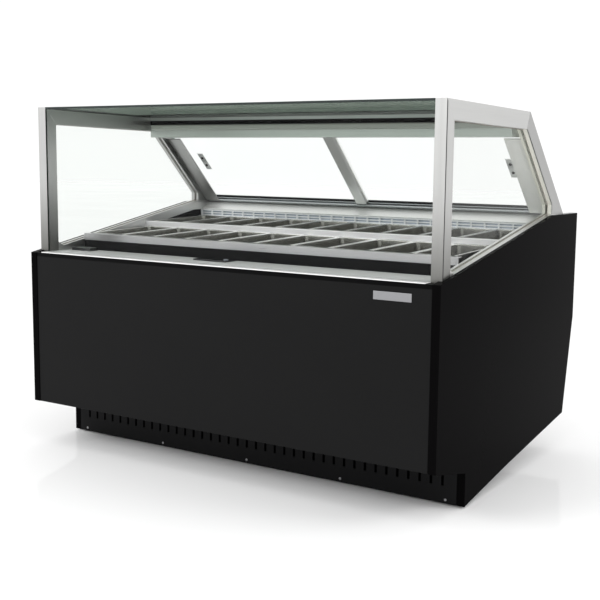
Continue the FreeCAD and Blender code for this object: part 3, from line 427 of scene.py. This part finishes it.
GUIDE_RISE, GUIDE_PLAY, GUIDE_BACK, GUIDE_DROP, GUIDE_SHEET = 0.024, 0.002, 0.006, 0.003, 0.0012
UPRIGHT_SHARE = 0.9
guide_y = grille_high.y + GUIDE_BACK
bpy.ops.transform.resize(value=(grille_high.x - grille_low.x - 2 * GUIDE_PLAY, GUIDE_RISE, 1))
bpy.ops.transform.translate(value=(0, guide_y, grille_high.z - GUIDE_RISE / 2 - GUIDE_DROP))
# The flat sheet is turned nearly upright about its middle line.
drawn = bmesh.from_edit_mesh(guide.data)
for vert in drawn.verts:
    back = vert.co.y - guide_y
    vert.co.z += back
    vert.co.y -= back * UPRIGHT_SHARE
bmesh.update_edit_mesh(guide.data)
bpy.ops.mesh.extrude_region_move(TRANSFORM_OT_translate={"value": (0, GUIDE_SHEET, 0)})
bpy.ops.mesh.select_all(action="SELECT")
bpy.ops.mesh.normals_make_consistent(inside=False)
bpy.ops.object.mode_set(mode="OBJECT")
mount(soften(guide, 0.0003), "cabinet", misty, "grille")

sill_steel = brushed("rear sill", ALONG_X, 0.80, 0.36, metallic=0.6)
mount(soften(solid_copy("sloping_sill", "rear_sill"), 0.0008), "cabinet", sill_steel,
      "brushed_steel", "rear_sill")

# ------------------------------------------------------------------ pans
# Twenty deep-drawn stainless pans with flat rims that rest on the rails. They lean in towards
# the bottom, with rounded corners, and the polished metal mirrors its own walls. The rims are
# painted light and the walls painted shade.
TILT = math.radians(1.5)
PAN_WIDTH, PAN_LENGTH, LIP, WALL, RIM = 0.1635, 0.359, 0.0102, 0.0012, 0.0015
PAN_DEEP, LEAN, PAN_BACK = 0.1188, math.tan(math.radians(4)), 0.0005
WALL_CORNER, FLOOR_CORNER, RIM_CORNER, MOUTH_ROUND = 0.0150, 0.010, 0.007, 0.0022
pan_low, pan_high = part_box("pan_front_01")
bpy.ops.object.select_all(action="DESELECT")
bpy.ops.mesh.primitive_plane_add(size=1)
pan = bpy.context.object
pan.name = pan.data.name = "gelato_pan"
edit(pan, "FACE")
bpy.ops.transform.resize(value=(PAN_WIDTH, PAN_LENGTH, 1))
bpy.ops.mesh.select_all(action="SELECT")
bpy.ops.mesh.inset(thickness=LIP)
bpy.ops.mesh.extrude_region_move(TRANSFORM_OT_translate={"value": (0, 0, -PAN_DEEP)})
inner_width, inner_length = PAN_WIDTH - 2 * LIP, PAN_LENGTH - 2 * LIP
shrink = 2 * PAN_DEEP * LEAN
bpy.ops.transform.resize(value=(1 - shrink / inner_width, 1 - shrink / inner_length, 1))
bpy.ops.mesh.select_mode(type="EDGE")
choose(pan, "edges", lambda e: abs(e.verts[0].co.z - e.verts[1].co.z) > PAN_DEEP / 2)
bpy.ops.mesh.bevel(offset=WALL_CORNER, segments=6, affect="EDGES")
choose(pan, "edges", lambda e: all(v.co.z < -PAN_DEEP * 0.99 for v in e.verts))
bpy.ops.mesh.bevel(offset=FLOOR_CORNER, segments=4, affect="EDGES")
bpy.ops.mesh.select_mode(type="VERT")
choose(pan, "verts", lambda v: (abs(v.co.x) > PAN_WIDTH / 2 - 0.0001
                                and abs(v.co.y) > PAN_LENGTH / 2 - 0.0001))
bpy.ops.mesh.bevel(offset=RIM_CORNER, segments=3, affect="VERTICES")
bpy.ops.mesh.select_mode(type="EDGE")
choose(pan, "edges", lambda e: all(abs(v.co.z) < 0.0001 and abs(v.co.x) < inner_width / 2 + 0.0001
                                   and abs(v.co.y) < inner_length / 2 + 0.0001 for v in e.verts))
bpy.ops.mesh.bevel(offset=MOUTH_ROUND, segments=2, affect="EDGES")
bpy.ops.object.mode_set(mode="OBJECT")
sheet = pan.modifiers.new("sheet", "SOLIDIFY")
sheet.thickness, sheet.offset = WALL, -1
bpy.ops.object.modifier_apply(modifier="sheet")
pan.data.transform(Matrix.Translation((0, 0, RIM)))
pan.data.transform(Matrix.Translation((0, PAN_LENGTH / 2 + PAN_BACK, 0)))
pan.data.transform(Matrix.Rotation(TILT, 4, "X"))
rim_rise = (PAN_LENGTH + PAN_BACK) * math.sin(TILT) + RIM * math.cos(TILT)
pan_start = Vector(((pan_low.x + pan_high.x) / 2,
                    pan_low.y - PAN_BACK * math.cos(TILT) + RIM * math.sin(TILT),
                    pan_high.z - rim_rise))
pan.data.transform(Matrix.Translation(pan_start))
soften(pan, 0.0004, 1, 60)
drawn_steel = Finish("deep drawn steel", Metallic=1.0)
flow = drawn_steel.noise((0.05, 0.05, 0.02), detail=3)
lines = drawn_steel.noise((0.0008, 0.0008, 0.05), detail=2)
# Faces that look up are painted light, and the walls are painted shade.
lit_rim_share = drawn_steel.facing("Z").above(0.90, 0.99)
shaded_wall_tone = drawn_steel.mix(flow, (0.22, 0.22, 0.20, 1), (0.31, 0.31, 0.29, 1))
drawn_steel.vary(Base_Color=drawn_steel.mix(lit_rim_share, shaded_wall_tone, (0.62, 0.62, 0.60, 1)),
                 Roughness=lines * 0.10 + flow * 0.10 + 0.13)
drawn_steel.bump(lines, 0.00003, 0.3)
for node in sorted(n for n in nodes if n.startswith("pan_")):
    copy = pan.copy()
    copy.data = pan.data.copy()
    copy.name = copy.data.name = "gelato_" + node
    bpy.context.scene.collection.objects.link(copy)
    copy.data.transform(Matrix.Translation(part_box(node)[0] - pan_low))
    mount(copy, node, drawn_steel, "pan_steel", node)
bpy.data.objects.remove(pan)

# ------------------------------------------------------------------ canopy end frames
# Each end is a ring of welded square tube: a front post, a top rail, a rear member that slopes
# with the doors, and a bottom rail that lies behind the side panel. The welds are ground flat, so
# only the grain turns there; each tube is given its own tone of the one steel, as painted light and
# shade.


def trim(piece, point, away):
    """Cuts a solid through a point, drops what lies on the away side and closes the cut."""
    edit(piece, "FACE")
    bpy.ops.mesh.select_all(action="SELECT")
    bpy.ops.mesh.bisect(plane_co=point, plane_no=away, clear_outer=True, use_fill=True)
    bpy.ops.object.mode_set(mode="OBJECT")


# Each cut runs a hair clear of the faces beside it, so that only the tube's own section is closed.
HAIR = 0.0002
ring_low, ring_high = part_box("end_frame_left")
pane_low, pane_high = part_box("end_glass_left")
roof_low, roof_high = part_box("roof_glass")
ROOF_SHEET = 0.008
roof_end = Vector((0, roof_high.y, roof_low.z + ROOF_SHEET))
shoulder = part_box("side_panel_left")[1].z
foot = Vector((0, ring_high.y, shoulder - HAIR))
front_top = Vector((0, ring_low.y, ring_high.z))
pane_front_top = Vector((0, pane_low.y, pane_high.z))
gusset_foot = Vector((0, pane_high.y, min(v.co.z for v in nodes["end_glass_left"].data.vertices
                                          if v.co.y > pane_high.y - 0.0005)))


def across(start, end, towards):
    """The direction at right angles to a cut from start to end, on the side of towards."""
    run = (end - start).normalized()
    out = Vector((0, -run.z, run.y))
    return out if (towards - start).dot(out) > 0 else -out


down_slope = (foot - roof_end).normalized()
slope_mitre = (down_slope + (front_top - roof_end).normalized()).normalized()
SLOPE_ANGLE = math.degrees(math.atan2(down_slope.z, down_slope.y))
# A point well inside the window, which tells the two sides of a cut apart.
middle = Vector((0, -0.1, 1.15))
pane_start = Vector((0, pane_low.y + HAIR, 0))
# The four tubes are one steel in different tones: painted light and shade on each member.
tubes = {
    "front_post": (brushed("post steel", ALONG_Z, 0.54, 0.24, shade=(0.72, 1.10)), [
        (pane_start, (0, 1, 0)),
        (front_top, across(front_top, pane_front_top, middle))]),
    "top_rail": (brushed("top rail steel", ALONG_Y, 0.55, 0.26), [
        (front_top, -across(front_top, pane_front_top, middle)),
        (roof_end, across(roof_end, roof_end + slope_mitre, foot)),
        (middle, (0, 0, -1))]),
    "slope_member": (brushed("slope steel", (SLOPE_ANGLE, 0, 0), 0.40, 0.24), [
        (roof_end, -across(roof_end, roof_end + slope_mitre, foot)),
        (foot, -across(foot, gusset_foot, roof_end)),
        (pane_start, (0, -1, 0))]),
    "bottom_rail": (brushed("bottom rail steel", (10, 0, 0), 0.66, 0.24), [
        (pane_start, (0, -1, 0)),
        (foot, across(foot, gusset_foot, roof_end)),
        (middle, (0, 0, 1))]),
}
# A dark seam runs down the side face of each post, along its front corner.
SEAM = 0.006
post = tubes["front_post"][0]
behind_seam = post.height("Y").above(ring_low.y + SEAM, ring_low.y + SEAM + 0.001)
seam = post.facing("X").above(0.4, 0.6) * (1 - behind_seam)
post_colour = Number(post, post.surface.inputs["Base Color"].links[0].from_socket)
post.vary(Base_Color=post.mix(seam, post_colour, (0.01, 0.01, 0.01, 1)))
# The lamp lights the inner faces of the right slope member, so they look cream and matt.
lit_steel = brushed("lit slope steel", (SLOPE_ANGLE, 0, 0), 0.40, 0.24)
outside = lit_steel.height("X").above(-ring_low.x - 0.005, -ring_low.x - 0.003)
outer_colour = Number(lit_steel, lit_steel.surface.inputs["Base Color"].links[0].from_socket)
lit_steel.vary(Base_Color=lit_steel.mix(outside, (0.90, 0.88, 0.80, 1), outer_colour),
               Metallic=outside)
# The right jamb is painted cream and matt as if lit by the lamp, and the left jamb is darker steel as
# painted shade.
jamb_steels = {
    "left": brushed("shaded left jamb steel", (SLOPE_ANGLE, 0, 0), 0.36, 0.30),
    "right": brushed("lamp lit right jamb steel", (SLOPE_ANGLE, 0, 0), 0.99, 0.28, tint=(1, 0.985, 0.92),
                     metallic=0.0),
}
for side, out in (("left", -1), ("right", 1)):
    inner_face = Vector((out * (roof_high.x - HAIR), 0, 0))
    for name, (steel, cuts) in tubes.items():
        tube = solid_copy(f"{name}_{side}", f"end_frame_{side}")
        trim(tube, inner_face, (-out, 0, 0))
        for point, away in cuts:
            trim(tube, point, away)
        if tube.name == "slope_member_right":
            steel = lit_steel
        mount(soften(tube, 0.0018, 3), "cabinet", steel, "brushed_steel")
    jamb = solid_copy(f"door_jamb_{side}", f"end_frame_{side}")
    trim(jamb, inner_face, (out, 0, 0))
    mount(soften(jamb, 0.0008), "cabinet", jamb_steels[side], "brushed_steel", f"end_frame_{side}")

# ------------------------------------------------------------------ canopy glass and seals
# Clear float glass in the ends, the front, the roof and the doors, green where it is seen edge on.
# Thin seals of clear silicone hold the end panes in their tubes.


def glass(name, thin, tint, edge_colour):
    """Clear sheet whose large faces look along one axis or more, and whose edges are green."""
    sheet = Finish(name, Base_Color=edge_colour, Roughness=0.1, Specular_IOR_Level=0.5)
    edge = 1 - thin(sheet).above(0.45, 0.55)
    film = sheet.noise((0.25, 0.25, 0.25), detail=3)
    clear = sheet.node("BsdfTransparent", {}, {"Color": tint})
    shine = sheet.node("BsdfGlossy", {}, {"Color": (1, 1, 1, 1), "Roughness": 0.02})
    slant = sheet.node("LayerWeight", {}, {"Blend": 0.5}, "Facing")
    sheen = slant.sum("POWER", 5) * 0.35 + 0.003
    pane = sheet.node("MixShader", {}, {0: sheen + film * 0.003, 1: clear, 2: shine})
    solid_edge = sheet.tree.nodes["Principled BSDF"].outputs[0]
    both = sheet.node("MixShader", {}, {0: edge * 0.9, 1: pane})
    sheet.tree.links.new(solid_edge, both.socket.node.inputs[2])
    sheet.tree.links.new(both.socket, sheet.tree.nodes["Material Output"].inputs[0])
    return sheet


EDGE_GREEN = (0.10, 0.20, 0.13, 1)
CLEAR = (0.985, 0.992, 0.988, 1)
end_sheet = glass("end glass", lambda f: f.facing("X"), (0.965, 0.972, 0.965, 1), EDGE_GREEN)
front_sheet = glass("front glass", lambda f: f.facing("Y"), CLEAR, EDGE_GREEN)
roof_sheet = glass("roof glass", lambda f: f.facing("Z"), (0.42, 0.47, 0.43, 1),
                   (0.004, 0.010, 0.010, 1))
# A black printed band hides the beam from above.
PRINTED_BAND = 0.165
print_start = roof_high.y - PRINTED_BAND
printed = roof_sheet.height("Y").above(print_start, print_start + 0.001)
enamel_print = roof_sheet.node("BsdfPrincipled", {}, {"Base Color": (0.002, 0.002, 0.002, 1),
                                                      "Roughness": 0.25, "Specular IOR Level": 0.1})
roof_out = roof_sheet.tree.nodes["Material Output"]
last = Number(roof_sheet, roof_out.inputs[0].links[0].from_socket)
banded = roof_sheet.node("MixShader", {}, {0: printed, 1: last, 2: enamel_print})
roof_sheet.tree.links.new(banded.socket, roof_out.inputs[0])
door_sheet = glass("door glass", lambda f: f.facing("Z"), (0.985, 0.99, 0.988, 1), EDGE_GREEN)
for node, sheet in (("end_glass_left", end_sheet), ("end_glass_right", end_sheet),
                    ("front_glass", front_sheet), ("roof_glass", roof_sheet),
                    ("door_glass_left", door_sheet), ("door_glass_right", door_sheet)):
    nodes[node].material_slots[0].material = sheet.material

silicone = Finish("seal rubber", Specular_IOR_Level=0.3)
yellowing = silicone.noise((0.05, 0.05, 0.05))
silicone.vary(Base_Color=silicone.mix(yellowing, (0.20, 0.17, 0.15, 1), (0.42, 0.38, 0.34, 1)),
                 Roughness=silicone.noise((0.004, 0.004, 0.004)) * 0.15 + 0.5)
SEAL_WIDTH, SEAL_THICK = 0.0015, 0.0015
for side in ("left", "right"):
    low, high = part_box(f"end_glass_{side}")
    pane_mesh = nodes[f"end_glass_{side}"].data
    corners = {(round(v.co.y, 5), round(v.co.z, 5)) for v in pane_mesh.vertices}
    centre_y = sum(y for y, z in corners) / len(corners)
    centre_z = sum(z for y, z in corners) / len(corners)
    corners = sorted(corners, key=lambda c: math.atan2(c[1] - centre_z, c[0] - centre_y))
    for place, face in (("outer", low.x - SEAL_THICK), ("inner", high.x)):
        bpy.ops.object.select_all(action="DESELECT")
        bpy.ops.mesh.primitive_circle_add(vertices=len(corners), fill_type="NGON")
        seal = bpy.context.object
        seal.name = seal.data.name = f"end_seal_{side}_{place}"
        for vert, (y, z) in zip(seal.data.vertices, corners):
            vert.co = (face, y, z)
        edit(seal, "FACE")
        bpy.ops.mesh.select_all(action="SELECT")
        bpy.ops.mesh.inset(thickness=SEAL_WIDTH)
        bpy.ops.mesh.delete(type="FACE")
        bpy.ops.mesh.select_all(action="SELECT")
        bpy.ops.mesh.extrude_region_move(TRANSFORM_OT_translate={"value": (SEAL_THICK, 0, 0)})
        bpy.ops.mesh.select_all(action="SELECT")
        bpy.ops.mesh.normals_make_consistent(inside=False)
        bpy.ops.object.mode_set(mode="OBJECT")
        mount(soften(seal, 0.0003), "cabinet", silicone, "clear_glass")

# ------------------------------------------------------------------ rear beam, lamp and door tracks
# Extrusions across the back: the anodised beam under the roof, with the lamp strip and a black
# strip in front, a painted shadow of the gap under the roof, and the lower track on the sill. Both
# have two grooves for the doors.
anodised = Finish("anodised aluminium", Metallic=1.0)
draw_lines = anodised.noise((0.9, 0.0016, 0.0016), detail=2)
anodised.vary(Base_Color=anodised.mix(draw_lines, (0.34, 0.375, 0.35, 1), (0.45, 0.485, 0.455, 1)),
              Roughness=draw_lines * 0.15 + 0.26)
anodised.bump(draw_lines, 0.00005, 0.3)
tray = Finish("gasket lined track", Specular_IOR_Level=0.2)
track_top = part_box("door_track")[1].z
LINING_DEEP = 0.012
lined = tray.height("Z").above(track_top - LINING_DEEP, track_top - LINING_DEEP + 0.002)
tray.vary(Base_Color=tray.mix(lined, (0.42, 0.44, 0.45, 1), (0.006, 0.006, 0.006, 1)),
          Metallic=1 - lined, Roughness=tray.noise((0.004, 0.004, 0.004)) * 0.15 + 0.35)
for name, node, metal in (("beam_extrusion", "rear_beam", anodised),
                          ("track_extrusion", "door_track", tray)):
    mount(soften(solid_copy(name, node), 0.0007), "cabinet", metal, "anodised", node)
shadow_and_screw_black = Finish("black shadow strip and screw", Base_Color=(0.004, 0.004, 0.004, 1), Specular_IOR_Level=0.03)
shadow_and_screw_black.vary(Roughness=shadow_and_screw_black.noise((0.004, 0.004, 0.004)) * 0.15 + 0.5)
lamp = Finish("opal lamp", Roughness=0.4, Emission_Strength=0.04)
glow = lamp.noise((0.4, 0.05, 0.05))
lamp.vary(Base_Color=lamp.mix(glow, (0.24, 0.27, 0.245, 1), (0.30, 0.33, 0.30, 1)),
          Emission_Color=lamp.mix(glow, (1.0, 0.93, 0.78, 1), (1.0, 0.95, 0.82, 1)))
mount(soften(solid_copy("lamp_strip", "led_strip"), 0.005, 4), "cabinet", lamp, "lamp", "led_strip")
lamp_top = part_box("led_strip")[1].z
beam_low, beam_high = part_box("rear_beam")
STRIP_TALL, STRIP_THICK, STRIP_PLAY = 0.018, 0.002, 0.001
# A black strip on the beam's front: a painted shadow of the gap between roof and beam.
gasket = slab("beam_shadow_strip",
              (beam_high.x - beam_low.x - 2 * STRIP_PLAY, STRIP_THICK, STRIP_TALL),
              (0, beam_low.y - STRIP_THICK / 2, lamp_top + STRIP_TALL / 2 + STRIP_PLAY))
bpy.ops.object.mode_set(mode="OBJECT")
mount(soften(gasket, 0.0006), "cabinet", shadow_and_screw_black, "black_paint")

# ------------------------------------------------------------------ sliding doors
# Two panes slide past each other in the tracks. Each has a pale channel on its free edge, and a
# small stainless pull fixed with two dark screws near the jamb.
SCREW_RADIUS, SCREW_DEEP = 0.006, 0.009
channel = brushed("meeting channel", ALONG_X, 0.85, 0.3, metallic=0.5)
# The pull steel is near white and barely metallic: painted light on a pull that lies in shade.
plate_steel = brushed("pull plate", ALONG_Z, 0.95, 0.35, metallic=0.1)
for side in ("left", "right"):
    body = f"door_{side}"
    mount(soften(solid_copy(f"meeting_channel_{side}", f"door_stile_{side}"), 0.0008), body, channel,
          "anodised", f"door_stile_{side}")
    plate = soften(solid_copy(f"pull_plate_{side}", f"door_pull_{side}"), 0.0008)
    mount(plate, body, plate_steel, "brushed_steel", f"door_pull_{side}")
    plate_low, plate_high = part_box(f"door_pull_{side}")
    for part, share in (("upper", 0.28), ("lower", 0.72)):
        bpy.ops.object.select_all(action="DESELECT")
        bpy.ops.mesh.primitive_cylinder_add(vertices=20, radius=SCREW_RADIUS, depth=SCREW_DEEP)
        screw = bpy.context.object
        screw.name = screw.data.name = f"pull_screw_{side}_{part}"
        screw.data.transform(Matrix.Rotation(math.radians(SLOPE_ANGLE), 4, "X"))
        spot = Vector(((plate_low.x + plate_high.x) / 2,
                       plate_low.y + (plate_high.y - plate_low.y) * share,
                       plate_high.z + (plate_low.z - plate_high.z) * share))
        screw.data.transform(Matrix.Translation(spot))
        mount(soften(screw, 0.0008), body, shadow_and_screw_black, "control_black")

# ------------------------------------------------------------------ cooling machine
# A finned condenser and a compressor stand on the base behind the slots, and a finned
# evaporator lies in the tub. Each coil has a shroud with a plastic fan.
fins = Finish("aluminium fins", Metallic=1.0, Base_Color=(0.55, 0.55, 0.55, 1))
rib = fins.node("TexWave", {"bands_direction": "X"}, {"Vector": fins.place((0.004, 0.004, 0.004)),
                                                     "Scale": 0.5}, 1)
fins.vary(Roughness=rib * 0.2 + 0.3)
fins.bump(rib, 0.0008, 0.8)
for node in ("condenser_coil", "evaporator_coil"):
    nodes[node].material_slots[0].material = fins.material
for node in ("condenser_fan", "evaporator_fan"):
    mount(soften(solid_copy("rotor_" + node, node), 0.0008), node, moulding, "fan_plastic", node)
enamel = Finish("black enamel", Base_Color=(0.010, 0.010, 0.011, 1))
enamel.vary(Roughness=enamel.noise((0.02, 0.02, 0.02)) * 0.15 + 0.25)
nodes["compressor"].material_slots[0].material = enamel.material

# ------------------------------------------------------------------ floor, lights and camera
# A plain pale floor and white surroundings, with one soft light above the front and one at the
# right. The camera stands in front of the right end, a little above the pans.
bpy.ops.object.select_all(action="DESELECT")
bpy.ops.mesh.primitive_plane_add(size=60)
floor = bpy.context.object
floor.name = "floor"
ground = Finish("pale floor", Base_Color=(0.95, 0.95, 0.95, 1), Specular_IOR_Level=0.03)
ground.vary(Roughness=ground.noise((2, 2, 2)) * 0.04 + 0.05)
floor.data.materials.append(ground.material)

world = bpy.data.worlds.new("white room")
bpy.context.scene.world = world
world.use_nodes = True
world.node_tree.nodes["Background"].inputs["Color"].default_value = (1, 1, 1, 1)
world.node_tree.nodes["Background"].inputs["Strength"].default_value = 1.06


def softbox(name, spot, aim, wide, high, power):
    light = bpy.data.lights.new(name, "AREA")
    light.shape, light.size, light.size_y, light.energy = "RECTANGLE", wide, high, power
    lamp_object = bpy.data.objects.new(name, light)
    bpy.context.scene.collection.objects.link(lamp_object)
    lamp_object.location = spot
    lamp_object.rotation_euler = (Vector(aim) - Vector(spot)).to_track_quat("-Z", "Y").to_euler()


softbox("front softbox", (-2.6, -4.2, 3.4), (0, 0, 0.8), 3.0, 1.6, 120)
softbox("right softbox", (4.2, 1.2, 2.8), (0, 0, 0.9), 2.0, 1.6, 60)

LENS, SENSOR, CAMERA_SPOT = 63.36, 36, (2.296, -3.558, 1.169)
YAW, PITCH, ROLL = math.radians(33.1), math.radians(7.8), math.radians(0.54)
sight = Vector((-math.sin(YAW) * math.cos(PITCH), math.cos(YAW) * math.cos(PITCH), -math.sin(PITCH)))
level = Vector((math.cos(YAW), math.sin(YAW), 0))
upright = level.cross(sight)
rightwards = math.cos(ROLL) * level + math.sin(ROLL) * upright
upwards = math.cos(ROLL) * upright - math.sin(ROLL) * level
camera = bpy.data.objects.new("camera", bpy.data.cameras.new("camera"))
bpy.context.scene.collection.objects.link(camera)
camera.data.lens, camera.data.sensor_width = LENS, SENSOR
camera.matrix_world = Matrix.Translation(CAMERA_SPOT) @ Matrix((
    rightwards, upwards, -sight)).transposed().to_4x4()
bpy.context.scene.camera = camera
bpy.context.scene.view_settings.view_transform = "Standard"
